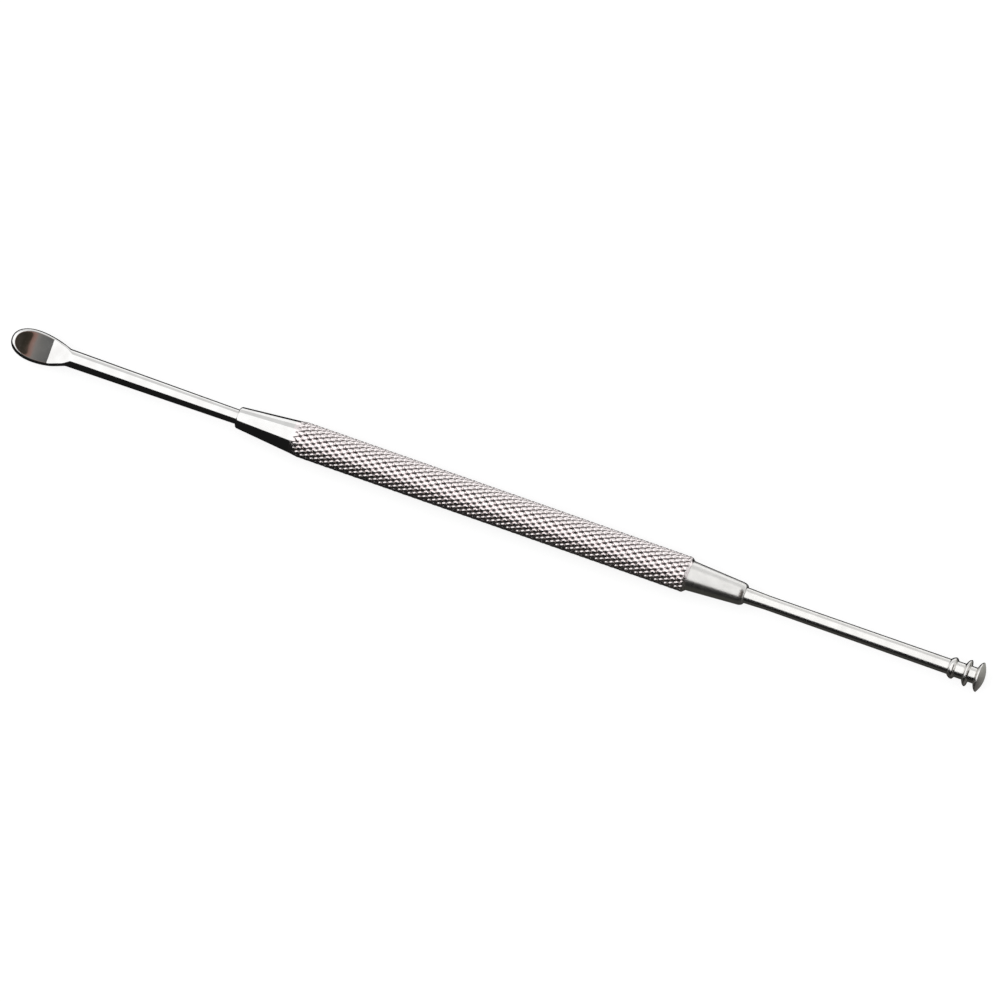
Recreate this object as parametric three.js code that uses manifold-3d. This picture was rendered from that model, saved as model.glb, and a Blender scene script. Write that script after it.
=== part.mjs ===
// A double-ended ear pick of stainless steel, lying along X with its scoop opening upwards.
// A knurled bar is turned to a cone at one end and drilled from both, and a tip is pressed into each hole.
// One tip is a wire flattened to a scoop. The other is turned, with a cone of its own and three rings.
// Millimetres, +Z up. The origin is on the table, under the middle of the length.

import * as THREE from "three";
import { mergeVertices } from "three/addons/utils/BufferGeometryUtils.js";
import Module from "manifold-3d";

const wasm = await Module();
wasm.setup();

// Knurled grip. Each set of grooves winds round the bar its own way, and diamonds stand between them.
const knurlLength = 48.95;
const knurlDiameter = 4.25;
const knurlDepth = 0.15;
const knurlPitch = 1.215;
const forwardGrooves = 16;
const backwardGrooves = 20;

// Cone of the bar on the scoop's side, from its end face to the first diamonds.
const scoopConeLength = 6.9;
const scoopConeEndDiameter = 2.6;
const scoopConeShoulder = 0.175;
const scoopConeRunOut = 1.2;
const scoopConeLip = 0.3;

// Chamfer at the bar's other end, and the cone of the ring tip, which sits flush against it.
const ringConeLength = 6.85;
const ringConeEndDiameter = 2.73;
const ringConeShoulder = 0.365;
const ringConeRunOut = 0.4;
const ringConeLip = 0.4;

// Holes drilled into both ends, and the ends of the tips that sit in them.
const scoopTangLength = 4;
const spigotLength = 8;
const spigotDiameter = 2.85;
const tangChamfer = 0.2;
const pressClearance = 0.02;
const boreSpare = 0.5;
const drillPointAngle = 118;

// Shank of the scoop tip, which thickens a little towards the scoop.
const scoopShankLength = 21.1;
const scoopShankDiameter = 1.75;
const scoopNeckDiameter = 2.1;

// Scoop. Its outline is a blunt oval end that draws in to the neck.
const scoopLength = 6.9;
const scoopWidth = 3.75;
const scoopWidest = 2.9;
const scoopTipFullness = 2.2;
const scoopNeckDraw = 0.36;

// Bowl. Its floor climbs from the foot of the ramp to the tip. Its rim rolls over outwards
// and ends in a steep edge.
const bowlLength = 4.7;
const bowlFloor = -0.45;
const bowlStartAngle = 10;
const bowlTipAngle = 20;
const bowlDepth = 0.12;
const bowlWallCurve = 2.5;
const bowlFloorThickness = 0.55;
const bellyRoundness = 2.5;
const rimWidth = 0.39;
const rimRoll = 0.18;
const rimEdgeWidth = 0.12;
const rimEdgeDrop = 0.3;
const rimThickness = 0.06;
const rampLength = 2.75;
const pressedEdge = 0.06;

// Shank of the ring tip.
const ringShankLength = 25;
const ringShankDiameter = 1.72;
const ringShankEndDiameter = 1.83;
const ringCoreDiameter = 1.93;

// Rings, from the shank to the domed end: diameter, rear slope and front slope of each.
const firstRingDiameter = 2.56;
const firstRingRear = 0.56;
const firstRingFront = 0.31;
const firstGap = 0.93;
const secondRingDiameter = 3.18;
const secondRingRear = 0.52;
const secondRingFront = 0.2;
const secondGap = 0.69;
const endRingDiameter = 3.55;
const endRingRear = 0.57;
const endDomeHeight = 0.52;
const ringLean = 0.5;

// Facets.
const roundSides = 40;
const curveSteps = 4;
const tipSections = 12;
const bowlSections = 6;
const neckSections = 10;
const rampSections = 4;
const sparePitches = 2;

// Places along the axis, from the scoop's tip to the domed end.
const rampEnd = bowlLength + rampLength;
const headLength = firstRingRear + firstRingFront + firstGap + secondRingRear + secondRingFront
  + secondGap + endRingRear + endDomeHeight;
const handleLength = scoopConeLength + knurlLength;
const ringTipLength = ringConeLength + ringShankLength + headLength;
const overallLength = scoopLength + scoopShankLength + handleLength + ringTipLength;
const scoopTipX = -overallLength / 2;
const scoopFaceX = scoopTipX + scoopLength + scoopShankLength;
const knurlStartX = scoopFaceX + scoopConeLength;
const knurlEndX = knurlStartX + knurlLength;
const ringFaceX = knurlEndX + ringConeLength;
const headX = ringFaceX + ringShankLength;
const endRingX = overallLength / 2 - endDomeHeight;

const diamondRadius = knurlDiameter / 2;
const ringConeBaseRadius = diamondRadius - ringConeShoulder;
const diamondColumns = forwardGrooves + backwardGrooves;
const columnAngle = 2 * Math.PI / diamondColumns;
// The grip rests on the two lowest columns of diamonds.
const axisHeight = diamondRadius * Math.cos(columnAngle / 2);
const sideAngle = 2 * Math.PI / roundSides;

// Joins the vertices that share a place, and drops the triangles that this closes up.
function weld(geometry) {
  geometry.deleteAttribute("normal");
  geometry.deleteAttribute("uv");
  const welded = mergeVertices(geometry);
  const corners = welded.index.array;
  const kept = [];
  for (let first = 0; first < corners.length; first += 3) {
    const [a, b, c] = corners.slice(first, first + 3);
    if (a !== b && b !== c && c !== a) {
      kept.push(a, b, c);
    }
  }
  welded.setIndex(kept);
  return welded;
}

function solid(geometry) {
  const closed = weld(geometry);
  const vertProperties = new Float32Array(closed.attributes.position.array);
  const triVerts = new Uint32Array(closed.index.array);
  return new wasm.Manifold(new wasm.Mesh({ numProp: 3, vertProperties, triVerts }));
}

function surface(vertices, triangles) {
  const geometry = new THREE.BufferGeometry();
  geometry.setAttribute("position", new THREE.Float32BufferAttribute(vertices, 3));
  geometry.setIndex(triangles);
  return geometry;
}

function geometryOf(body) {
  const mesh = body.getMesh();
  return surface(Array.from(mesh.vertProperties), Array.from(mesh.triVerts));
}

// Turns a profile of (radius, place along X) round the X axis.
function turn(profile, startAngle = 0) {
  const turned = new THREE.LatheGeometry(profile.getPoints(curveSteps), roundSides, startAngle);
  return turned.rotateZ(-Math.PI / 2);
}

// A point at an angle round the X axis, measured from +Y towards +Z.
function around(x, radius, angle) {
  return [x, radius * Math.cos(angle), radius * Math.sin(angle)];
}

// A bar covered in diamonds. The grooves cross at points that repeat at one pitch along each column,
// and step along the axis from one column to the next. A four-sided point stands between each four.
function knurledBar() {
  const step = forwardGrooves / diamondColumns;
  const rows = Math.ceil(handleLength / knurlPitch) + sparePitches;
  const startX = scoopFaceX - knurlPitch;
  const vertices = [];
  const indexOf = new Map();

  function vertex(column, row, radius) {
    const turns = Math.floor(column / diamondColumns);
    const ownColumn = column - turns * diamondColumns;
    const ownRow = row + turns * forwardGrooves;
    const key = `${ownColumn} ${ownRow}`;
    if (!indexOf.has(key)) {
      const x = startX + knurlPitch * (ownRow + ownColumn * step);
      const angle = (ownColumn + 0.5) * columnAngle - Math.PI / 2;
      indexOf.set(key, vertices.length / 3);
      vertices.push(...around(x, radius, angle));
    }
    return indexOf.get(key);
  }

  const crossing = (column, row) => vertex(column, row, diamondRadius - knurlDepth);
  const firstRow = (column) => -Math.floor(column * step);
  const nearEnd = vertices.push(startX - knurlPitch, 0, 0) / 3 - 1;
  const farEnd = vertices.push(startX + knurlPitch * (rows + sparePitches), 0, 0) / 3 - 1;
  const triangles = [];
  for (let column = 0; column < diamondColumns; column += 1) {
    const first = firstRow(column);
    const next = firstRow(column + 1);
    triangles.push(nearEnd, crossing(column + 1, next), crossing(column, first));
    triangles.push(farEnd, crossing(column, first + rows), crossing(column + 1, next + rows));
    for (let row = first; row < first + rows; row += 1) {
      const point = vertex(column, row + 0.5, diamondRadius);
      const corners = [
        crossing(column, row),
        crossing(column + 1, row),
        crossing(column, row + 1),
        crossing(column - 1, row + 1),
      ];
      corners.forEach((corner, side) => {
        triangles.push(point, corner, corners[(side + 1) % corners.length]);
      });
    }
  }
  return surface(vertices, triangles);
}

// What the lathe leaves of the bar: a cone with a rounded lip, a chamfer, and clear room for the diamonds.
function turnedOutline() {
  const scoopLipRadius = scoopConeEndDiameter / 2 - scoopConeLip;
  const clearRadius = diamondRadius + knurlDepth;
  const outline = new THREE.Path();
  outline.moveTo(0, scoopFaceX);
  outline.lineTo(scoopLipRadius, scoopFaceX);
  outline.absarc(scoopLipRadius, scoopFaceX + scoopConeLip, scoopConeLip, -Math.PI / 2, 0);
  outline.lineTo(diamondRadius - scoopConeShoulder, knurlStartX);
  outline.lineTo(diamondRadius, knurlStartX + scoopConeRunOut);
  outline.lineTo(clearRadius, knurlStartX + scoopConeRunOut);
  outline.lineTo(clearRadius, knurlEndX - ringConeRunOut);
  outline.lineTo(diamondRadius, knurlEndX - ringConeRunOut);
  outline.lineTo(ringConeBaseRadius, knurlEndX);
  outline.lineTo(0, knurlEndX);
  return outline;
}

// A drilled hole with a pointed end, as a solid to cut away. Inwards is +1 or -1 along X.
function drilledHole(faceX, inwards, tangLength, tangDiameter, startAngle) {
  const radius = tangDiameter / 2 + pressClearance;
  const pointLength = radius / Math.tan(THREE.MathUtils.degToRad(drillPointAngle / 2));
  const floorX = faceX + inwards * (tangLength + boreSpare);
  const ends = [
    new THREE.Vector2(0, floorX + inwards * pointLength),
    new THREE.Vector2(radius, floorX),
    new THREE.Vector2(radius, faceX - inwards * tangLength),
    new THREE.Vector2(0, faceX - inwards * tangLength),
  ];
  const outline = new THREE.Path().setFromPoints(inwards > 0 ? ends.reverse() : ends);
  return turn(outline, startAngle);
}

function handleGeometry() {
  const turned = solid(knurledBar()).intersect(solid(turn(turnedOutline())));
  const scoopHole = solid(drilledHole(scoopFaceX, 1, scoopTangLength, scoopShankDiameter, sideAngle / 2));
  const ringHole = solid(drilledHole(knurlEndX, -1, spigotLength, spigotDiameter, 0));
  return geometryOf(turned.subtract(scoopHole).subtract(ringHole));
}

// Half the scoop's width, at a distance from its tip.
function scoopHalfWidth(fromTip) {
  const widest = scoopWidth / 2;
  if (fromTip < scoopWidest) {
    const short = (scoopWidest - fromTip) / scoopWidest;
    return widest * (1 - short ** scoopTipFullness) ** (1 / scoopTipFullness);
  }
  const run = scoopLength - scoopWidest;
  const t = (fromTip - scoopWidest) / run;
  const ease = t * t * (3 - 2 * t);
  return THREE.MathUtils.lerp(widest, scoopNeckDiameter / 2, ease) + scoopNeckDraw * run * t * t * (1 - t);
}

// How far a point of the scoop lies from its middle line towards its rim, from 0 to 1.
function towardsRim(fromTip, across) {
  const sideways = Math.abs(across);
  if (fromTip >= scoopWidest) {
    return sideways;
  }
  const lengthways = (scoopWidest - fromTip) / scoopWidest;
  const half = sideways * scoopHalfWidth(fromTip) / (scoopWidth / 2);
  return (lengthways ** scoopTipFullness + half ** scoopTipFullness) ** (1 / scoopTipFullness);
}

// Radius of the round shank behind the scoop.
function scoopShankRadius(fromTip) {
  const t = THREE.MathUtils.clamp((fromTip - scoopLength) / scoopShankLength, 0, 1);
  return THREE.MathUtils.lerp(scoopNeckDiameter, scoopShankDiameter, t) / 2;
}

// The lower of two surfaces, with the edge where they cross rounded over.
function roundedMin(first, second, rounding) {
  const share = THREE.MathUtils.clamp(0.5 + (second - first) / (2 * rounding), 0, 1);
  return THREE.MathUtils.lerp(second, first, share) - rounding * share * (1 - share);
}

// Height of the middle of the bowl.
function bowlHeight(fromTip) {
  const run = Math.max(bowlLength - fromTip, 0);
  const startSlope = Math.tan(THREE.MathUtils.degToRad(bowlStartAngle));
  const tipSlope = Math.tan(THREE.MathUtils.degToRad(bowlTipAngle));
  return bowlFloor + run * THREE.MathUtils.lerp(startSlope, tipSlope, run / bowlLength / 2);
}

// How far the flattened end has gone over to the round shank, from 0 to 1.
function roundness(fromTip) {
  return THREE.MathUtils.smoothstep(fromTip, bowlLength, scoopLength);
}

// How far the rim has come down from its crest: a rounded roll, and then the steep edge.
function rimDrop(reach) {
  const rimStart = 1 - rimWidth / (scoopWidth / 2);
  const edgeStart = 1 - rimEdgeWidth / (scoopWidth / 2);
  const overRoll = THREE.MathUtils.clamp((reach - rimStart) / (edgeStart - rimStart), 0, 1);
  const overEdge = THREE.MathUtils.clamp((reach - edgeStart) / (1 - edgeStart), 0, 1);
  return rimRoll * overRoll * overRoll + rimEdgeDrop * overEdge;
}

// Upper surface: a blank with a rim that rolls over, into which the ramp and the bowl are pressed.
function scoopTop(fromTip, across) {
  const radius = scoopShankRadius(fromTip);
  const floor = bowlHeight(fromTip);
  const reach = towardsRim(fromTip, across);
  const rimStart = 1 - rimWidth / (scoopWidth / 2);
  const rim = floor + bowlDepth - rimDrop(reach);
  const blank = THREE.MathUtils.lerp(rim, radius * Math.sqrt(1 - across * across), roundness(fromTip));
  const climb = THREE.MathUtils.clamp((fromTip - bowlLength) / rampLength, 0, 1);
  const wall = bowlDepth * (1 - climb) * (reach / rimStart) ** bowlWallCurve;
  return roundedMin(blank, THREE.MathUtils.lerp(floor, radius, climb) + wall, pressedEdge);
}

// Lower surface: a rounded belly under the bowl, going into the round shank.
function scoopBottom(fromTip, across) {
  const radius = scoopShankRadius(fromTip);
  const rimUnderside = bowlDepth - rimDrop(1) - rimThickness;
  const reach = towardsRim(fromTip, across) ** bellyRoundness;
  const belly = bowlHeight(fromTip) + THREE.MathUtils.lerp(-bowlFloorThickness, rimUnderside, reach);
  return THREE.MathUtils.lerp(belly, -radius * Math.sqrt(1 - across * across), roundness(fromTip));
}

// One cross-section of the scoop tip: the upper surface from side to side, then the lower one back.
function scoopSection(fromTip) {
  const half = fromTip < scoopLength ? scoopHalfWidth(fromTip) : scoopShankRadius(fromTip);
  const points = [];
  for (let side = 0; side < roundSides; side += 1) {
    const angle = (side + 0.5) * sideAngle;
    const across = Math.cos(angle);
    const height = angle < Math.PI ? scoopTop(fromTip, across) : scoopBottom(fromTip, across);
    points.push([scoopTipX + fromTip, half * across, height]);
  }
  return points;
}

function roundSection(x, radius) {
  return Array.from({ length: roundSides }, (_, side) => around(x, radius, (side + 0.5) * sideAngle));
}

// Skins a row of sections that have the same number of points, and closes both ends from side to side.
function loft(sections) {
  const triangles = [];
  const last = (sections.length - 1) * roundSides;
  for (let section = 0; section < sections.length - 1; section += 1) {
    for (let side = 0; side < roundSides; side += 1) {
      const a = section * roundSides + side;
      const b = section * roundSides + (side + 1) % roundSides;
      triangles.push(a, b, a + roundSides);
      triangles.push(b, b + roundSides, a + roundSides);
    }
  }
  for (let side = 0; side < roundSides / 2 - 1; side += 1) {
    const opposite = roundSides - 1 - side;
    triangles.push(side, opposite, side + 1);
    triangles.push(side + 1, opposite, opposite - 1);
    triangles.push(last + side, last + side + 1, last + opposite);
    triangles.push(last + side + 1, last + opposite - 1, last + opposite);
  }
  return surface(sections.flat(2), triangles);
}

// Evenly spaced places from start to end, without the first.
function evenPlaces(start, end, count) {
  return Array.from({ length: count }, (_, place) => THREE.MathUtils.lerp(start, end, (place + 1) / count));
}

function scoopTipGeometry() {
  const places = [];
  for (let section = 1; section <= tipSections; section += 1) {
    const angle = (section - 0.5) / (tipSections - 0.5) * Math.PI / 2;
    places.push(scoopWidest * (1 - Math.cos(angle)));
  }
  places.push(...evenPlaces(scoopWidest, bowlLength, bowlSections));
  places.push(...evenPlaces(bowlLength, scoopLength, neckSections));
  places.push(...evenPlaces(scoopLength, rampEnd, rampSections));
  const tangRadius = scoopShankDiameter / 2;
  const sections = places.map(scoopSection);
  sections.push(roundSection(scoopFaceX, tangRadius));
  sections.push(roundSection(scoopFaceX + scoopTangLength - tangChamfer, tangRadius));
  sections.push(roundSection(scoopFaceX + scoopTangLength, tangRadius - tangChamfer));
  return loft(sections);
}

// Rear slope of a ring: it rises from the core and rounds over to the ring's edge.
function ringRear(outline, x, rear, diameter) {
  outline.quadraticCurveTo(diameter / 2, x + rear * ringLean, diameter / 2, x + rear);
}

// A whole ring, with its front slope back down to the core. Gives the place where it ends.
function ring(outline, x, rear, front, diameter) {
  const coreRadius = ringCoreDiameter / 2;
  const crestX = x + rear;
  outline.lineTo(coreRadius, x);
  ringRear(outline, x, rear, diameter);
  outline.quadraticCurveTo(diameter / 2, crestX + front * (1 - ringLean), coreRadius, crestX + front);
  return crestX + front;
}

function ringTipGeometry() {
  const spigotRadius = spigotDiameter / 2;
  const spigotStart = knurlEndX - spigotLength;
  const coneStart = knurlEndX + pressClearance;
  const lipStart = ringFaceX - ringConeLip;
  const coreRadius = ringCoreDiameter / 2;
  const endRadius = endRingDiameter / 2;
  const domeRadius = (endRadius ** 2 + endDomeHeight ** 2) / (2 * endDomeHeight);
  const domeCentre = endRingX + endDomeHeight - domeRadius;
  const domeStart = Math.acos(endRadius / domeRadius);
  const outline = new THREE.Path();
  outline.moveTo(0, spigotStart);
  outline.lineTo(spigotRadius - tangChamfer, spigotStart);
  outline.lineTo(spigotRadius, spigotStart + tangChamfer);
  outline.lineTo(spigotRadius, coneStart);
  outline.lineTo(ringConeBaseRadius, coneStart);
  outline.lineTo(ringConeEndDiameter / 2, lipStart);
  outline.absarc(ringConeEndDiameter / 2 - ringConeLip, lipStart, ringConeLip, 0, Math.PI / 2);
  outline.lineTo(ringShankDiameter / 2, ringFaceX);
  outline.lineTo(ringShankEndDiameter / 2, headX);
  const firstEnd = ring(outline, headX, firstRingRear, firstRingFront, firstRingDiameter);
  const secondEnd = ring(outline, firstEnd + firstGap, secondRingRear, secondRingFront, secondRingDiameter);
  outline.lineTo(coreRadius, secondEnd + secondGap);
  ringRear(outline, secondEnd + secondGap, endRingRear, endRingDiameter);
  outline.absarc(0, domeCentre, domeRadius, domeStart, Math.PI / 2);
  return weld(turn(outline));
}

function steelPiece(name, geometry, color, roughness) {
  const material = new THREE.MeshStandardMaterial({ color, roughness, metalness: 1 });
  const piece = new THREE.Mesh(geometry, material);
  piece.name = name;
  return piece;
}

const earPick = new THREE.Group();
earPick.position.z = axisHeight;
earPick.add(
  steelPiece("knurled_handle", handleGeometry(), 0xdcd8d6, 0.28),
  steelPiece("scoop_tip", scoopTipGeometry(), 0xe0dfdc, 0.12),
  steelPiece("ring_tip", ringTipGeometry(), 0xd8d5d0, 0.22),
);

export default earPick;
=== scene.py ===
# Looks of a double-ended steel ear pick: a knurled grip, a polished scoop tip and a ringed tip.
# The solid model gives the places. The meshes here give the flat-topped diamonds of the knurl, the true
# roundness of the turned surfaces, the pressed bowl and the finish of each steel surface.
# Shapes are worked out in millimetres round the X axis, and finished pieces are in metres.

import math

import bmesh
import bpy
from mathutils import Matrix, Vector


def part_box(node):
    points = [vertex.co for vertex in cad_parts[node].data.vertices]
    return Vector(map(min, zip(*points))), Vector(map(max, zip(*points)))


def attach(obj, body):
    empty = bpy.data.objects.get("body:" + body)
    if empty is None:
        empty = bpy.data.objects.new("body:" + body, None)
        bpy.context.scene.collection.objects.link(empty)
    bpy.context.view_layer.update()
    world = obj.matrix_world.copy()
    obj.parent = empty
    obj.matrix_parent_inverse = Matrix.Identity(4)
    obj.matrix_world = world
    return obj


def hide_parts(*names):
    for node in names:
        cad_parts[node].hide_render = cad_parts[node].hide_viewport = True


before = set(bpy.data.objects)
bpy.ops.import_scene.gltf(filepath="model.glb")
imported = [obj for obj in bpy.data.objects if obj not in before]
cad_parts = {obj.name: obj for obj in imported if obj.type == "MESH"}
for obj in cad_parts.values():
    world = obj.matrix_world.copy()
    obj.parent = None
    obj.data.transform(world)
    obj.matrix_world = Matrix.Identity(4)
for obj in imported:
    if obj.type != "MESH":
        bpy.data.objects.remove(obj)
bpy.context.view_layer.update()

# Places from the solid model.
MM = 0.001
handle_low, handle_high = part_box("knurled_handle")
scoop_low, scoop_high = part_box("scoop_tip")
ring_low, ring_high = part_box("ring_tip")
AXIS_HEIGHT = (handle_low.z + handle_high.z) / 2 / MM
SCOOP_TIP = scoop_low.x / MM
SCOOP_FACE = handle_low.x / MM
SCOOP_TANG_END = scoop_high.x / MM
KNURL_END = handle_high.x / MM
SPIGOT_END = ring_low.x / MM
DOME_END = ring_high.x / MM

# Knurl: two sets of grooves that wind opposite ways, with a flat-topped diamond between each four
# crossings. The grooves run in over a short stretch where the scoop-side cone begins.
GROOVE_DEPTH = 0.12
CROSSING_DEPTH = 0.04
DIAMOND_TOP = 2 / 3
DIAMOND_DOME = 0.3
CROSSING_REACH = 0.42
CROSSING_FLOOR = 0.1
KNURL_DEPTH = GROOVE_DEPTH + CROSSING_DEPTH
KNURL_PITCH = 1.215
FORWARD_GROOVES = 16
BACKWARD_GROOVES = 20
DIAMOND_STEPS = 6
KNURL_RUN_IN = 0.35
KNURL_SPARE_ROWS = 3
COLUMNS = FORWARD_GROOVES + BACKWARD_GROOVES
COLUMN_ANGLE = 2 * math.pi / COLUMNS
DIAMOND_RADIUS = AXIS_HEIGHT

# Cones: length, end size, step to the knurl and lip. One belongs to the grip and one to the ring tip.
SCOOP_CONE_LENGTH = 6.9
SCOOP_CONE_END_RADIUS = 1.3
SCOOP_CONE_SHOULDER = 0.167
SCOOP_CONE_RUN_OUT = 1.2
SCOOP_CONE_LIP = 0.3
RING_CONE_LENGTH = 6.85
RING_CONE_END_RADIUS = 1.365
RING_CONE_SHOULDER = 0.357
RING_CONE_RUN_OUT = 0.4
RING_CONE_LIP = 0.4
RING_CONE_LIP_LENGTH = 0.75
RING_CONE_BASE_RADIUS = DIAMOND_RADIUS - RING_CONE_SHOULDER
RING_FACE = KNURL_END + RING_CONE_LENGTH
SPIGOT_RADIUS = 1.425
KNURL_START = SCOOP_FACE + SCOOP_CONE_LENGTH
KNURL_LATTICE_START = SCOOP_FACE + KNURL_SPARE_ROWS * KNURL_PITCH
CONE_RINGS = 6
LIP_STEPS = 8
PRESS_CLEARANCE = 0.02
BORE_SPARE = 0.5
DRILL_POINT = math.radians(118 / 2)
TANG_CHAMFER = 0.2

# Scoop tip, measured back from its tip. The bowl's floor is pressed a little otherwise than in the
# solid model, with the same height at the tip.
SCOOP_SHANK_RADIUS = 0.875
SCOOP_NECK_RADIUS = 1.05
SCOOP_LENGTH = 6.9
SCOOP_HALF_WIDTH = 1.875
SCOOP_WIDEST = 2.9
SCOOP_TIP_FULLNESS = 2.2
SCOOP_NECK_DRAW = 0.36
BOWL_LENGTH = 4.7
BOWL_FLOOR = -0.45
BOWL_START_SLOPE = math.tan(math.radians(12.5))
BOWL_TIP_SLOPE = math.tan(math.radians(17.7))
BOWL_FLOOR_THICKNESS = 0.55
BOWL_WALL_CURVE = 2.5
BOWL_DEPTH = 0.12
RIM_WIDTH = 0.39
RIM_ROLL = 0.18
RIM_EDGE_WIDTH = 0.12
RIM_EDGE_DROP = 0.3
RIM_THICKNESS = 0.06
BELLY_CURVE = 2.5
RAMP_LENGTH = 2.75
PRESSED_EDGE = 0.06
RAMP_EDGE = 0.2
CREASE_BOW = 0.3
RAMP_END = BOWL_LENGTH + RAMP_LENGTH
SCOOP_SIDES = 128
TIP_RINGS = 36
BOWL_RINGS = 24
NECK_RINGS = 40
RAMP_RINGS = 16
SHANK_RINGS = 12

# Ring tip, with each ring's radius, rear slope and front slope.
RING_SHANK_RADIUS = 0.86
RING_ROOT_RADIUS = 0.94
RING_ROOT_LENGTH = 3
ROOT_STEPS = 8
RING_SHANK_END_RADIUS = 0.915
RING_CORE_RADIUS = 0.965
RINGS = ((1.28, 0.56, 0.31), (1.59, 0.52, 0.2))
RING_GAPS = (0.93, 0.69)
END_RING_RADIUS = 1.775
END_RING_REAR = 0.57
END_DOME_HEIGHT = 0.52
RING_LEAN = 0.5
CURVE_STEPS = 8
DOME_STEPS = 16
TURNED_SIDES = 128
RINGS_LENGTH = sum(rear + front for _, rear, front in RINGS) + sum(RING_GAPS)
HEAD_LENGTH = RINGS_LENGTH + END_RING_REAR + END_DOME_HEIGHT
HEAD_START = DOME_END - HEAD_LENGTH

# Closeness at which points are joined, and the angles past which an edge stays sharp.
WELD = 0.002
SHARP_ANGLE = math.radians(50)
DIAMOND_SHARP_ANGLE = math.radians(20)

# Finishes. Noise runs between its two useful values.
NOISE_LOW = 0.3
NOISE_HIGH = 0.7
# Painted shade for the knurl's pits where the grooves cross: its colour, and the pit share over which
# it fades in to its full strength.
CROSSING_SHADE_COLOUR = (0.10, 0.085, 0.085)
CROSSING_SHADE_START = 0.35
CROSSING_SHADE_FULL = 0.85
CROSSING_SHADE_STRENGTH = 0.9


# Materials


def steel(name):
    material = bpy.data.materials.new(name)
    material.use_nodes = True
    shader = material.node_tree.nodes["Principled BSDF"]
    shader.inputs["Metallic"].default_value = 1
    return material, material.node_tree, shader


def grain(tree, stretch, detail=3.0):
    """Noise on the piece's own coordinates, with its own number of grains a metre each way."""
    place = tree.nodes.new("ShaderNodeTexCoord")
    spread = tree.nodes.new("ShaderNodeMapping")
    spread.inputs["Scale"].default_value = stretch
    noise = tree.nodes.new("ShaderNodeTexNoise")
    noise.inputs["Scale"].default_value = 1
    noise.inputs["Detail"].default_value = detail
    tree.links.new(place.outputs["Object"], spread.inputs["Vector"])
    tree.links.new(spread.outputs["Vector"], noise.inputs["Vector"])
    return noise.outputs["Fac"]


def ranged(tree, value, low, high):
    spread = tree.nodes.new("ShaderNodeMapRange")
    spread.inputs["From Min"].default_value = NOISE_LOW
    spread.inputs["From Max"].default_value = NOISE_HIGH
    spread.inputs["To Min"].default_value = low
    spread.inputs["To Max"].default_value = high
    tree.links.new(value, spread.inputs["Value"])
    return spread.outputs["Result"]


def toned(tree, value, dark, light):
    ramp = tree.nodes.new("ShaderNodeValToRGB")
    ramp.color_ramp.elements[0].position = NOISE_LOW
    ramp.color_ramp.elements[0].color = (*dark, 1)
    ramp.color_ramp.elements[1].position = NOISE_HIGH
    ramp.color_ramp.elements[1].color = (*light, 1)
    tree.links.new(value, ramp.inputs["Fac"])
    return ramp.outputs["Color"]


def relief(tree, value, height, strength):
    bump = tree.nodes.new("ShaderNodeBump")
    bump.inputs["Distance"].default_value = height * MM
    bump.inputs["Strength"].default_value = strength
    tree.links.new(value, bump.inputs["Height"])
    return bump.outputs["Normal"]


def polished_steel():
    """Bright polish, with fine hairlines along the axis and faint cloudy wear."""
    material, tree, shader = steel("polished_steel")
    hairlines = grain(tree, stretch=(300, 9000, 9000))
    wear = grain(tree, stretch=(700, 700, 700), detail=5)
    tone = toned(tree, wear, dark=(0.80, 0.79, 0.78), light=(0.90, 0.90, 0.89))
    roughness = ranged(tree, wear, low=0.05, high=0.11)
    scratches = relief(tree, hairlines, height=0.002, strength=0.15)
    tree.links.new(tone, shader.inputs["Base Color"])
    tree.links.new(roughness, shader.inputs["Roughness"])
    tree.links.new(scratches, shader.inputs["Normal"])
    return material


def turned_steel(name, smoothest, roughest):
    """Fine turning marks round the axis, duller than the polish."""
    material, tree, shader = steel(name)
    turning = grain(tree, stretch=(14000, 250, 250))
    wear = grain(tree, stretch=(900, 900, 900), detail=5)
    tone = toned(tree, wear, dark=(0.82, 0.81, 0.79), light=(0.92, 0.91, 0.89))
    roughness = ranged(tree, turning, low=smoothest, high=roughest)
    turning_marks = relief(tree, turning, height=0.003, strength=0.12)
    tree.links.new(tone, shader.inputs["Base Color"])
    tree.links.new(roughness, shader.inputs["Roughness"])
    tree.links.new(turning_marks, shader.inputs["Normal"])
    return material


def knurled_steel():
    """Rolled diamonds: bright steel on their rubbed tops, with painted shade darkening the pits where
    the grooves cross.
    """
    material, tree, shader = steel("knurled_steel")
    crossing = tree.nodes.new("ShaderNodeAttribute")
    crossing.attribute_name = "crossing_painted_shade"
    tops = grain(tree, stretch=(2500, 2500, 2500), detail=4)
    steel_tone = toned(tree, tops, dark=(0.95, 0.88, 0.88), light=(0.99, 0.93, 0.93))
    roughness = ranged(tree, tops, low=0.16, high=0.24)
    unevenness = relief(tree, tops, height=0.006, strength=0.2)
    # Painted shade, mixed into the steel's colour at the groove crossings.
    painted_shade = tree.nodes.new("ShaderNodeMix")
    painted_shade.data_type = "RGBA"
    painted_shade.inputs["B"].default_value = (*CROSSING_SHADE_COLOUR, 1)
    fade = tree.nodes.new("ShaderNodeMapRange")
    fade.inputs["From Min"].default_value = CROSSING_SHADE_START
    fade.inputs["From Max"].default_value = CROSSING_SHADE_FULL
    fade.inputs["To Max"].default_value = CROSSING_SHADE_STRENGTH
    tree.links.new(crossing.outputs["Fac"], fade.inputs["Value"])
    tree.links.new(fade.outputs["Result"], painted_shade.inputs["Factor"])
    tree.links.new(steel_tone, painted_shade.inputs["A"])
    tree.links.new(painted_shade.outputs["Result"], shader.inputs["Base Color"])
    tree.links.new(roughness, shader.inputs["Roughness"])
    tree.links.new(unevenness, shader.inputs["Normal"])
    return material


# Building blocks


def new_verts(geometry):
    return [item for item in geometry if isinstance(item, bmesh.types.BMVert)]


def new_edges(geometry):
    return [item for item in geometry if isinstance(item, bmesh.types.BMEdge)]


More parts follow.
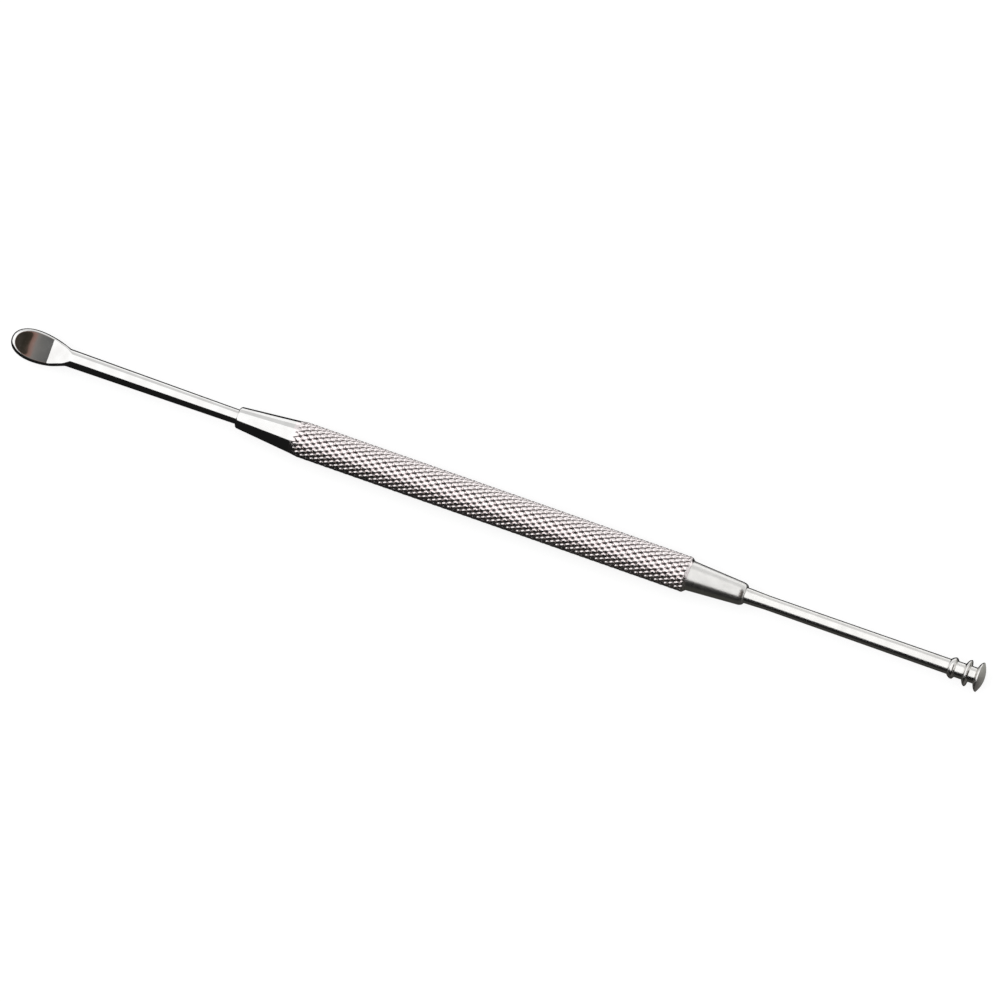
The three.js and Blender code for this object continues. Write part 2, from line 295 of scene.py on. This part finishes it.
def finish_piece(bm, name, node, materials, sharp_angle=SHARP_ANGLE):
    """Closes a mesh and moves it from millimetres round the axis to its place in metres."""
    bmesh.ops.remove_doubles(bm, verts=bm.verts, dist=WELD)
    bmesh.ops.recalc_face_normals(bm, faces=bm.faces)
    for face in bm.faces:
        face.smooth = True
    for edge in bm.edges:
        if edge.calc_face_angle(0) > sharp_angle:
            edge.smooth = False
    bmesh.ops.translate(bm, verts=bm.verts, vec=(0, 0, AXIS_HEIGHT))
    bmesh.ops.scale(bm, verts=bm.verts, vec=(MM, MM, MM))
    mesh = bpy.data.meshes.new(name)
    bm.to_mesh(mesh)
    bm.free()
    for material in materials:
        mesh.materials.append(material)
    piece = bpy.data.objects.new(name, mesh)
    bpy.context.scene.collection.objects.link(piece)
    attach(piece, "root")
    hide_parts(node)
    return piece


def ease(share):
    return share * share * (3 - 2 * share)


def ease_between(value, low, high):
    return ease(min(max((value - low) / (high - low), 0), 1))


def lerp(start, end, share):
    return start + (end - start) * share


# Grip


def turned_radius(x):
    """Radius that the lathe leaves where the knurl runs out into the cones."""
    from_start = (x - KNURL_START) / SCOOP_CONE_RUN_OUT
    from_end = (KNURL_END - x) / RING_CONE_RUN_OUT
    scoop_side = DIAMOND_RADIUS - SCOOP_CONE_SHOULDER * (1 - from_start)
    ring_side = DIAMOND_RADIUS - RING_CONE_SHOULDER * (1 - from_end)
    return min(scoop_side, ring_side, DIAMOND_RADIUS)


def groove_share(place):
    """Depth of one groove at a place across a diamond, from 0 on the top to 1 in the groove."""
    side = abs(2 * place - 1)
    flank = max(side - DIAMOND_TOP, 0) / (1 - DIAMOND_TOP)
    return lerp(flank, side * side, DIAMOND_DOME)


def crossing_share(place):
    """How near a place across a diamond is to a crossing, from 0 on the top to 1 at the crossing."""
    return 1 - ease_between(min(place, 1 - place), CROSSING_FLOOR, CROSSING_REACH)


def flat_diamond(bm):
    """One diamond, laid flat between four crossings, a unit along each set of grooves."""
    # A layer holding the painted shade at each point.
    painted_shade = bm.verts.layers.float.new("crossing_painted_shade")
    bmesh.ops.create_grid(bm, x_segments=DIAMOND_STEPS, y_segments=DIAMOND_STEPS, size=0.5)
    for vertex in bm.verts:
        forward = vertex.co.x + 0.5
        backward = vertex.co.y + 0.5
        grooves = 1 - (1 - groove_share(forward)) * (1 - groove_share(backward))
        pit = crossing_share(forward) * crossing_share(backward)
        below = GROOVE_DEPTH * grooves + CROSSING_DEPTH * pit
        vertex.co = (forward, backward, KNURL_DEPTH - below)
        # Painted shade at the crossings, as strong as the point's share of the pit.
        vertex[painted_shade] = pit


def lay_diamonds(bm):
    """Repeats the diamond along one column, and the column round the bar."""
    rows = math.ceil((KNURL_END - KNURL_LATTICE_START) / KNURL_PITCH) + KNURL_SPARE_ROWS
    diamond = bm.verts[:] + bm.edges[:] + bm.faces[:]
    for row in range(1, rows):
        copy = bmesh.ops.duplicate(bm, geom=diamond)["geom"]
        bmesh.ops.translate(bm, verts=new_verts(copy), vec=(row, row, 0))
    column_of_diamonds = bm.verts[:] + bm.edges[:] + bm.faces[:]
    for column in range(1, COLUMNS):
        back = math.floor(column * FORWARD_GROOVES / COLUMNS)
        copy = bmesh.ops.duplicate(bm, geom=column_of_diamonds)["geom"]
        bmesh.ops.translate(bm, verts=new_verts(copy), vec=(column - back, -back, 0))


def roll_knurl(bm):
    """Rolls the flat diamonds round the bar, and cuts them down where the cones begin."""
    for vertex in bm.verts:
        forward, backward, height = vertex.co
        along = (FORWARD_GROOVES * forward + BACKWARD_GROOVES * backward) / COLUMNS
        x = KNURL_LATTICE_START + KNURL_PITCH * along
        angle = (forward - backward + 0.5) * COLUMN_ANGLE - math.pi / 2
        run_in = min(max((x - KNURL_START) / KNURL_RUN_IN, 0), 1)
        radius = DIAMOND_RADIUS - (KNURL_DEPTH - height) * run_in
        vertex.co = (x, radius * math.cos(angle), radius * math.sin(angle))
    bmesh.ops.remove_doubles(bm, verts=bm.verts, dist=WELD)
    cuts = (
        (KNURL_START, -1, True),
        (KNURL_START + SCOOP_CONE_RUN_OUT, -1, False),
        (KNURL_END - RING_CONE_RUN_OUT, 1, False),
        (KNURL_END, 1, True),
    )
    for x, outwards, is_end in cuts:
        everything = bm.verts[:] + bm.edges[:] + bm.faces[:]
        bmesh.ops.bisect_plane(
            bm, geom=everything, plane_co=(x, 0, 0), plane_no=(outwards, 0, 0), clear_outer=is_end)
    painted_shade = bm.verts.layers.float["crossing_painted_shade"]
    for vertex in bm.verts:
        shrink = turned_radius(vertex.co.x) / math.hypot(vertex.co.y, vertex.co.z)
        if shrink < 1:
            vertex.co = (vertex.co.x, vertex.co.y * shrink, vertex.co.z * shrink)
            # No painted shade where the turned cone cuts the pit away.
            vertex[painted_shade] = 0


def draw_ring(bm, ring, start, end):
    """Draws a round edge out from one (place, radius) to the next, and gives the new edge."""
    drawn = bmesh.ops.extrude_edge_only(bm, edges=ring)["geom"]
    verts = new_verts(drawn)
    swell = end[1] / start[1]
    bmesh.ops.scale(bm, verts=verts, vec=(1, swell, swell))
    bmesh.ops.translate(bm, verts=verts, vec=(end[0] - start[0], 0, 0))
    moved = set(verts)
    return [edge for edge in new_edges(drawn) if moved.issuperset(edge.verts)]


def cone_profile(base, lip_start, lip, lip_length):
    """Places and radii along a cone from its base to its lip, and round the lip to the end face."""
    points = []
    for step in range(CONE_RINGS + 1):
        points.append(tuple(lerp(a, b, step / CONE_RINGS) for a, b in zip(base, lip_start)))
    for step in range(1, LIP_STEPS + 1):
        angle = math.pi / 2 * step / LIP_STEPS
        along = lip_length * math.sin(angle)
        inwards = lip * (1 - math.cos(angle))
        points.append((lip_start[0] + along, lip_start[1] - inwards))
    return points


def draw_end(bm, profile, outwards, finish):
    """Draws the knurl's open edge out to the end of the bar, and closes it at the hole's point."""
    knurl_edge = profile[0][0]
    open_edges = [edge for edge in bm.edges if edge.is_boundary]
    ring = [edge for edge in open_edges if outwards * (edge.verts[0].co.x - knurl_edge) > -WELD]
    for edge in ring:
        edge.smooth = False
    before = set(bm.faces)
    for start, end in zip(profile, profile[1:]):
        ring = draw_ring(bm, ring, start, end)
    bore_end, bore_radius = profile[-1]
    point = bore_end - outwards * bore_radius / math.tan(DRILL_POINT)
    tip = draw_ring(bm, ring, profile[-1], (point, WELD / 2))
    tip_verts = list({vertex for edge in tip for vertex in edge.verts})
    bmesh.ops.pointmerge(bm, verts=tip_verts, merge_co=(point, 0, 0))
    for face in bm.faces:
        if face not in before:
            face.material_index = finish


def make_grip(materials):
    bm = bmesh.new()
    flat_diamond(bm)
    lay_diamonds(bm)
    roll_knurl(bm)
    scoop_bore = SCOOP_SHANK_RADIUS + PRESS_CLEARANCE
    scoop_end = cone_profile(
        (KNURL_START, DIAMOND_RADIUS - SCOOP_CONE_SHOULDER),
        (SCOOP_FACE + SCOOP_CONE_LIP, SCOOP_CONE_END_RADIUS), SCOOP_CONE_LIP, -SCOOP_CONE_LIP)
    scoop_end += [(SCOOP_FACE, scoop_bore), (SCOOP_TANG_END + BORE_SPARE, scoop_bore)]
    draw_end(bm, scoop_end, outwards=-1, finish=1)
    ring_bore = SPIGOT_RADIUS + PRESS_CLEARANCE
    ring_end = [
        (KNURL_END, RING_CONE_BASE_RADIUS),
        (KNURL_END, ring_bore),
        (SPIGOT_END - BORE_SPARE, ring_bore),
    ]
    draw_end(bm, ring_end, outwards=1, finish=1)
    return finish_piece(
        bm, "knurled_grip", "knurled_handle", materials,
        sharp_angle=DIAMOND_SHARP_ANGLE)


# Scoop tip


def scoop_half_width(from_tip):
    if from_tip < SCOOP_WIDEST:
        short = (SCOOP_WIDEST - from_tip) / SCOOP_WIDEST
        return SCOOP_HALF_WIDTH * (1 - short ** SCOOP_TIP_FULLNESS) ** (1 / SCOOP_TIP_FULLNESS)
    run = SCOOP_LENGTH - SCOOP_WIDEST
    share = (from_tip - SCOOP_WIDEST) / run
    draw = SCOOP_NECK_DRAW * run * share * share * (1 - share)
    return lerp(SCOOP_HALF_WIDTH, SCOOP_NECK_RADIUS, ease(share)) + draw


def towards_rim(from_tip, across):
    """How far a point of the scoop lies from its middle line towards its rim, from 0 to 1."""
    sideways = abs(across)
    if from_tip >= SCOOP_WIDEST:
        return sideways
    lengthways = (SCOOP_WIDEST - from_tip) / SCOOP_WIDEST
    half = sideways * scoop_half_width(from_tip) / SCOOP_HALF_WIDTH
    return (lengthways ** SCOOP_TIP_FULLNESS + half ** SCOOP_TIP_FULLNESS) ** (1 / SCOOP_TIP_FULLNESS)


def shank_radius(from_tip):
    share = min(max((from_tip - SCOOP_LENGTH) / (SCOOP_FACE - SCOOP_TIP - SCOOP_LENGTH), 0), 1)
    return lerp(SCOOP_NECK_RADIUS, SCOOP_SHANK_RADIUS, share)


def bowl_floor(from_tip):
    """Middle of the bowl: it climbs from the foot of the ramp to the tip, ever more steeply."""
    run = max(BOWL_LENGTH - from_tip, 0)
    return BOWL_FLOOR + run * lerp(BOWL_START_SLOPE, BOWL_TIP_SLOPE, run / BOWL_LENGTH / 2)


def rounded_min(first, second, rounding):
    """The lower of two surfaces, with the edge where they cross rounded over."""
    share = min(max(0.5 + (second - first) / (2 * rounding), 0), 1)
    return lerp(second, first, share) - rounding * share * (1 - share)


def rim_drop(reach):
    """How far the rim has come down from its crest: a rounded roll, and then a steep edge."""
    rim_start = 1 - RIM_WIDTH / SCOOP_HALF_WIDTH
    edge_start = 1 - RIM_EDGE_WIDTH / SCOOP_HALF_WIDTH
    over_rim = min(max((reach - rim_start) / (edge_start - rim_start), 0), 1)
    over_edge = min(max((reach - edge_start) / (1 - edge_start), 0), 1)
    return RIM_ROLL * over_rim * over_rim + RIM_EDGE_DROP * over_edge


def scoop_top(from_tip, across):
    """Upper surface: a blank with a rounded rim, into which the ramp and the bowl are pressed."""
    radius = shank_radius(from_tip)
    roundness = ease_between(from_tip, BOWL_LENGTH, SCOOP_LENGTH)
    rim_start = 1 - RIM_WIDTH / SCOOP_HALF_WIDTH
    reach = towards_rim(from_tip, across)
    floor = bowl_floor(from_tip)
    rim = floor + BOWL_DEPTH - rim_drop(reach)
    blank = lerp(rim, radius * math.sqrt(max(1 - across * across, 0)), roundness)
    ramp_start = BOWL_LENGTH + CREASE_BOW * across * across
    climb = min(max((from_tip - ramp_start) / RAMP_LENGTH, 0), 1)
    wall = BOWL_DEPTH * (1 - climb) * (reach / rim_start) ** BOWL_WALL_CURVE
    pressed = lerp(floor, radius, climb) + wall
    halfway_up = 4 * climb * (1 - climb)
    ramp_edge = RAMP_EDGE * halfway_up * across * across
    return rounded_min(blank, pressed, PRESSED_EDGE + ramp_edge)


def scoop_bottom(from_tip, across):
    """Lower surface: a rounded belly under the bowl, going into the round shank."""
    radius = shank_radius(from_tip)
    roundness = ease_between(from_tip, BOWL_LENGTH, SCOOP_LENGTH)
    floor = bowl_floor(from_tip)
    rim_underside = BOWL_DEPTH - RIM_ROLL - RIM_EDGE_DROP - RIM_THICKNESS
    reach = towards_rim(from_tip, across)
    belly = floor + lerp(-BOWL_FLOOR_THICKNESS, rim_underside, reach ** BELLY_CURVE)
    return lerp(belly, -radius * math.sqrt(max(1 - across * across, 0)), roundness)


def scoop_point(from_tip, angle):
    x = SCOOP_TIP + from_tip
    if from_tip >= RAMP_END:
        radius = shank_radius(from_tip)
        if x > SCOOP_TANG_END - WELD:
            radius -= TANG_CHAMFER
        return Vector((x, radius * math.cos(angle), radius * math.sin(angle)))
    half = scoop_half_width(from_tip) if from_tip < SCOOP_LENGTH else shank_radius(from_tip)
    across = math.cos(angle)
    height = scoop_top(from_tip, across) if math.sin(angle) > 0 else scoop_bottom(from_tip, across)
    return Vector((x, half * across, height))


def scoop_places():
    """Distances from the tip at which the scoop tip has a ring of points, closest where it bends."""
    angles = [math.pi / 2 * ring / TIP_RINGS for ring in range(TIP_RINGS)]
    places = [SCOOP_WIDEST * (1 - math.cos(angle)) for angle in angles]
    shank_end = SCOOP_FACE - SCOOP_TIP
    tang_end = SCOOP_TANG_END - SCOOP_TIP
    stretches = (
        (SCOOP_WIDEST, BOWL_LENGTH, BOWL_RINGS),
        (BOWL_LENGTH, SCOOP_LENGTH, NECK_RINGS),
        (SCOOP_LENGTH, RAMP_END, RAMP_RINGS),
        (RAMP_END, shank_end, SHANK_RINGS),
        (shank_end, tang_end - TANG_CHAMFER, 1),
    )
    for start, end, rings in stretches:
        places += [lerp(start, end, ring / rings) for ring in range(rings)]
    return places + [tang_end - TANG_CHAMFER, tang_end]


def make_scoop_tip(material):
    places = scoop_places()
    last = len(places) - 1
    bm = bmesh.new()
    bmesh.ops.create_grid(bm, x_segments=last, y_segments=SCOOP_SIDES, size=0.5)
    for vertex in bm.verts:
        place = places[round((vertex.co.x + 0.5) * last)]
        side = round((vertex.co.y + 0.5) * SCOOP_SIDES) % SCOOP_SIDES
        vertex.co = scoop_point(place, (side + 0.5) * 2 * math.pi / SCOOP_SIDES)
    bmesh.ops.remove_doubles(bm, verts=bm.verts, dist=WELD)
    bmesh.ops.holes_fill(bm, edges=[edge for edge in bm.edges if edge.is_boundary], sides=0)
    return finish_piece(bm, "polished_scoop", "scoop_tip", [material])


# Ring tip


def bend(start, control, end):
    """Points of a curve from start to end that leans towards its control point, without the first."""
    points = []
    for step in range(1, CURVE_STEPS + 1):
        t = step / CURVE_STEPS
        points.append(tuple(
            (1 - t) ** 2 * a + 2 * t * (1 - t) * b + t * t * c for a, b, c in zip(start, control, end)))
    return points


def ring_profile():
    """Places and radii of the turned tip, from its spigot to the top of its dome."""
    cone_start = KNURL_END + PRESS_CLEARANCE
    points = [
        (SPIGOT_END, 0),
        (SPIGOT_END, SPIGOT_RADIUS - TANG_CHAMFER),
        (SPIGOT_END + TANG_CHAMFER, SPIGOT_RADIUS),
        (cone_start, SPIGOT_RADIUS),
    ]
    points += cone_profile(
        (cone_start, RING_CONE_BASE_RADIUS), (RING_FACE - RING_CONE_LIP_LENGTH, RING_CONE_END_RADIUS),
        RING_CONE_LIP, RING_CONE_LIP_LENGTH)
    points.append((RING_FACE, RING_ROOT_RADIUS))
    for step in range(1, ROOT_STEPS + 1):
        share = step / ROOT_STEPS
        radius = lerp(RING_ROOT_RADIUS, RING_SHANK_RADIUS, ease(share))
        points.append((RING_FACE + RING_ROOT_LENGTH * share, radius))
    points += [(HEAD_START, RING_SHANK_END_RADIUS), (HEAD_START, RING_CORE_RADIUS)]
    x = HEAD_START
    for (radius, rear, front), gap in zip(RINGS, RING_GAPS):
        crest = (x + rear, radius)
        foot = (x + rear + front, RING_CORE_RADIUS)
        points += bend((x, RING_CORE_RADIUS), (x + rear * RING_LEAN, radius), crest)
        points += bend(crest, (crest[0] + front * (1 - RING_LEAN), radius), foot)
        x = foot[0] + gap
        points.append((x, RING_CORE_RADIUS))
    crest = (x + END_RING_REAR, END_RING_RADIUS)
    points += bend((x, RING_CORE_RADIUS), (x + END_RING_REAR * RING_LEAN, END_RING_RADIUS), crest)
    dome_radius = (END_RING_RADIUS ** 2 + END_DOME_HEIGHT ** 2) / (2 * END_DOME_HEIGHT)
    dome_angle = math.asin(END_RING_RADIUS / dome_radius)
    for step in range(1, DOME_STEPS + 1):
        angle = dome_angle * (1 - step / DOME_STEPS)
        points.append((DOME_END - dome_radius * (1 - math.cos(angle)), dome_radius * math.sin(angle)))
    return points


def make_ring_tip(materials):
    bm = bmesh.new()
    verts = [bm.verts.new((x, radius, 0)) for x, radius in ring_profile()]
    edges = [bm.edges.new(pair) for pair in zip(verts, verts[1:])]
    bmesh.ops.spin(
        bm, geom=verts + edges, axis=(1, 0, 0), cent=(0, 0, 0), steps=TURNED_SIDES,
        angle=2 * math.pi, use_merge=True)
    for face in bm.faces:
        face.material_index = int(face.calc_center_median().x > RING_FACE)
    return finish_piece(bm, "ringed_tip", "ring_tip", materials)


# Stage and camera

CAMERA_LEAN = math.radians(10)
CAMERA_ROLL = math.radians(3)
PICTURE_SLANT = math.radians(19.33)
PICTURE_PIXELS = 1002
PIXELS_PER_MM = 8.715
MIDDLE_PIXEL = (496.8, 507.8)
LENS = 1000
NEAREST_SEEN = 0.01
FARTHEST_SEEN = 50
FLOOR_REACH = 6
FLOOR_COLOUR = (0.35, 0.35, 0.35)
FLOOR_ROUGHNESS = 0.9
SHEET_REACH = 4
SHEET_HEIGHT = 1.2
SHEET_RIGHT = 0.13
SHEET_FRONT = -0.9
SHEET_BACK = 1.55
SHEET_GLOW = 1.15
PANEL_BACK = 1.0
PANEL_RIGHT = 2.6
PANEL_COLOURS = (
    (SHEET_RIGHT, (0.10, 0.10, 0.105)),
    (0.30, (0.16, 0.16, 0.155)),
    (0.35, (0.23, 0.22, 0.21)),
    (0.36, (0.29, 0.18, 0.155)),
    (0.42, (0.25, 0.15, 0.125)),
    (0.44, (0.045, 0.035, 0.026)),
    (0.57, (0.030, 0.026, 0.020)),
    (0.75, (0.060, 0.050, 0.042)),
)
SIDE_COLOURS = (
    (-0.006, (0.07, 0.065, 0.06)),
    (-0.002, (0.11, 0.105, 0.10)),
    (0.002, (0.30, 0.30, 0.28)),
    (0.006, (0.46, 0.46, 0.44)),
)
FRONT_COLOURS = (
    (-0.025, (0.010, 0.010, 0.010)),
    (0.025, (0.045, 0.044, 0.040)),
)
BACK_COLOURS = (
    (-0.025, (0.010, 0.010, 0.010)),
    (0.025, (0.015, 0.015, 0.015)),
)
FLAG_FOOT = -2.2
FLAG_COLOUR = (0.010, 0.010, 0.010)
SIDE_CARD_START = 0.059
BACK_CARD_END = 0.006
CARD_HEIGHT = 0.00002
FLOOR_LIFT = 0.77
WORLD_GLOW = 0.72


def plain_material(name, colour, strength=None):
    """One even colour: matt, or glowing where a strength is given."""
    material = bpy.data.materials.new(name)
    material.use_nodes = True
    tree = material.node_tree
    if strength is None:
        shader = tree.nodes["Principled BSDF"]
        shader.inputs["Base Color"].default_value = (*colour, 1)
        shader.inputs["Roughness"].default_value = FLOOR_ROUGHNESS
        shader.inputs["Specular IOR Level"].default_value = 0
    else:
        tree.nodes.clear()
        output = tree.nodes.new("ShaderNodeOutputMaterial")
        glow = tree.nodes.new("ShaderNodeEmission")
        glow.inputs["Color"].default_value = (*colour, 1)
        glow.inputs["Strength"].default_value = strength
        tree.links.new(glow.outputs["Emission"], output.inputs["Surface"])
    return material


def stage_plane(name, corners, material):
    bm = bmesh.new()
    bm.faces.new([bm.verts.new(corner) for corner in corners])
    mesh = bpy.data.meshes.new(name)
    bm.to_mesh(mesh)
    bm.free()
    mesh.materials.append(material)
    plane = bpy.data.objects.new(name, mesh)
    bpy.context.scene.collection.objects.link(plane)
    return plane


def only_in_reflections(card):
    card.visible_camera = False
    card.visible_diffuse = False
    card.visible_shadow = False
    card.visible_transmission = False
    card.visible_volume_scatter = False


def rectangle(x_range, y_range, z):
    left, right = x_range
    near, far = y_range
    return [(left, near, z), (right, near, z), (right, far, z), (left, far, z)]


def pale_floor():
    """White paper: it takes the shadow, and it is lifted to white where it is seen or mirrored."""
    material = plain_material("pale_floor", FLOOR_COLOUR)
    tree = material.node_tree
    path = tree.nodes.new("ShaderNodeLightPath")
    seen = tree.nodes.new("ShaderNodeMath")
    seen.operation = "MAXIMUM"
    lift = tree.nodes.new("ShaderNodeMath")
    lift.operation = "MULTIPLY"
    lift.inputs[1].default_value = FLOOR_LIFT
    shader = tree.nodes["Principled BSDF"]
    shader.inputs["Emission Color"].default_value = (1, 1, 1, 1)
    tree.links.new(path.outputs["Is Camera Ray"], seen.inputs[0])
    tree.links.new(path.outputs["Is Glossy Ray"], seen.inputs[1])
    tree.links.new(seen.outputs["Value"], lift.inputs[0])
    tree.links.new(lift.outputs["Value"], shader.inputs["Emission Strength"])
    return material


def graded_material(name, axis, stops):
    """Glowing material whose colour changes along one axis, from stop to stop."""
    material = plain_material(name, (1, 1, 1), strength=1)
    tree = material.node_tree
    low, high = stops[0][0], stops[-1][0]
    place = tree.nodes.new("ShaderNodeTexCoord")
    parts = tree.nodes.new("ShaderNodeSeparateXYZ")
    share = tree.nodes.new("ShaderNodeMapRange")
    share.inputs["From Min"].default_value = low
    share.inputs["From Max"].default_value = high
    ramp = tree.nodes.new("ShaderNodeValToRGB")
    colours = ramp.color_ramp.elements
    while len(colours) < len(stops):
        colours.new(1)
    for colour, (position, value) in zip(colours, stops):
        colour.position = (position - low) / (high - low)
        colour.color = (*value, 1)
    tree.links.new(place.outputs["Object"], parts.inputs["Vector"])
    tree.links.new(parts.outputs[axis], share.inputs["Value"])
    tree.links.new(share.outputs["Result"], ramp.inputs["Fac"])
    tree.links.new(ramp.outputs["Color"], tree.nodes["Emission"].inputs["Color"])
    return material


def set_stage():
    """White paper under a glowing sheet, and the dark and coloured cards that the steel mirrors."""
    floor_range = (-FLOOR_REACH, FLOOR_REACH)
    stage_plane("floor", rectangle(floor_range, floor_range, 0), pale_floor())
    corners = rectangle((-SHEET_REACH, SHEET_RIGHT), (SHEET_FRONT, SHEET_BACK), SHEET_HEIGHT)
    sheet_glow = plain_material("white_sheet", (1, 1, 1), strength=SHEET_GLOW)
    sheet = stage_plane("white_sheet", corners, sheet_glow)
    sheet.visible_camera = False
    corners = rectangle((SHEET_RIGHT, PANEL_RIGHT), (SHEET_FRONT, PANEL_BACK), SHEET_HEIGHT)
    panel_colours = graded_material("coloured_panel", "X", PANEL_COLOURS)
    only_in_reflections(stage_plane("coloured_panel", corners, panel_colours))
    cards = (
        ("front_card", (-FLOOR_REACH, SIDE_CARD_START), (-FLOOR_REACH, 0), "X", FRONT_COLOURS),
        ("back_card", (-FLOOR_REACH, SIDE_CARD_START), (0, BACK_CARD_END), "X", BACK_COLOURS),
        ("side_card", (SIDE_CARD_START, FLOOR_REACH), (-FLOOR_REACH, FLOOR_REACH), "Y", SIDE_COLOURS),
    )
    for name, x_range, y_range, axis, colours in cards:
        corners = rectangle(x_range, y_range, CARD_HEIGHT)
        only_in_reflections(stage_plane(name, corners, graded_material(name, axis, colours)))
    flag = [
        (-SHEET_REACH, SHEET_FRONT, SHEET_HEIGHT),
        (SHEET_REACH, SHEET_FRONT, SHEET_HEIGHT),
        (SHEET_REACH, FLAG_FOOT, 0),
        (-SHEET_REACH, FLAG_FOOT, 0),
    ]
    flag_black = plain_material("front_flag", FLAG_COLOUR, strength=1)
    only_in_reflections(stage_plane("front_flag", flag, flag_black))


def set_world():
    """A pale room that is white where the camera sees it."""
    world = bpy.data.worlds.new("studio")
    world.use_nodes = True
    back = world.node_tree.nodes["Background"]
    back.inputs["Color"].default_value = (1, 1, 1, 1)
    path = world.node_tree.nodes.new("ShaderNodeLightPath")
    strength = world.node_tree.nodes.new("ShaderNodeMapRange")
    strength.inputs["To Min"].default_value = WORLD_GLOW
    world.node_tree.links.new(path.outputs["Is Camera Ray"], strength.inputs["Value"])
    world.node_tree.links.new(strength.outputs["Result"], back.inputs["Strength"])
    bpy.context.scene.world = world


def set_camera():
    """Looks down on the bowl as the photograph does, with the axis slanting down to the right."""
    lean = math.cos(CAMERA_LEAN)
    back = Vector((math.sin(CAMERA_LEAN), -lean * math.sin(CAMERA_ROLL), lean * math.cos(CAMERA_ROLL)))
    along = (Vector((1, 0, 0)) - back * back.x).normalized()
    across = back.cross(along)
    right = math.cos(PICTURE_SLANT) * along + math.sin(PICTURE_SLANT) * across
    up = math.cos(PICTURE_SLANT) * across - math.sin(PICTURE_SLANT) * along
    centre = PICTURE_PIXELS / 2
    offset = (centre - MIDDLE_PIXEL[0]) * right - (centre - MIDDLE_PIXEL[1]) * up
    target = Vector((0, 0, AXIS_HEIGHT * MM)) + offset * MM / PIXELS_PER_MM
    camera = bpy.data.cameras.new("camera")
    camera.lens = LENS
    camera.clip_start = NEAREST_SEEN
    camera.clip_end = FARTHEST_SEEN
    width = PICTURE_PIXELS / PIXELS_PER_MM * MM
    distance = width * LENS / camera.sensor_width
    seen_from = bpy.data.objects.new("camera", camera)
    turn = Matrix((right, up, back)).transposed().to_4x4()
    seen_from.matrix_world = Matrix.Translation(target + back * distance) @ turn
    bpy.context.scene.collection.objects.link(seen_from)
    bpy.context.scene.camera = seen_from


grip_steel = knurled_steel()
bright_steel = polished_steel()
cone_steel = turned_steel("satin_steel", smoothest=0.27, roughest=0.34)
head_steel = turned_steel("bright_turned_steel", smoothest=0.18, roughest=0.25)
make_grip([grip_steel, bright_steel])
make_scoop_tip(bright_steel)
make_ring_tip([cone_steel, head_steel])
set_stage()
set_world()
set_camera()
bpy.context.scene.view_settings.view_transform = "Standard"
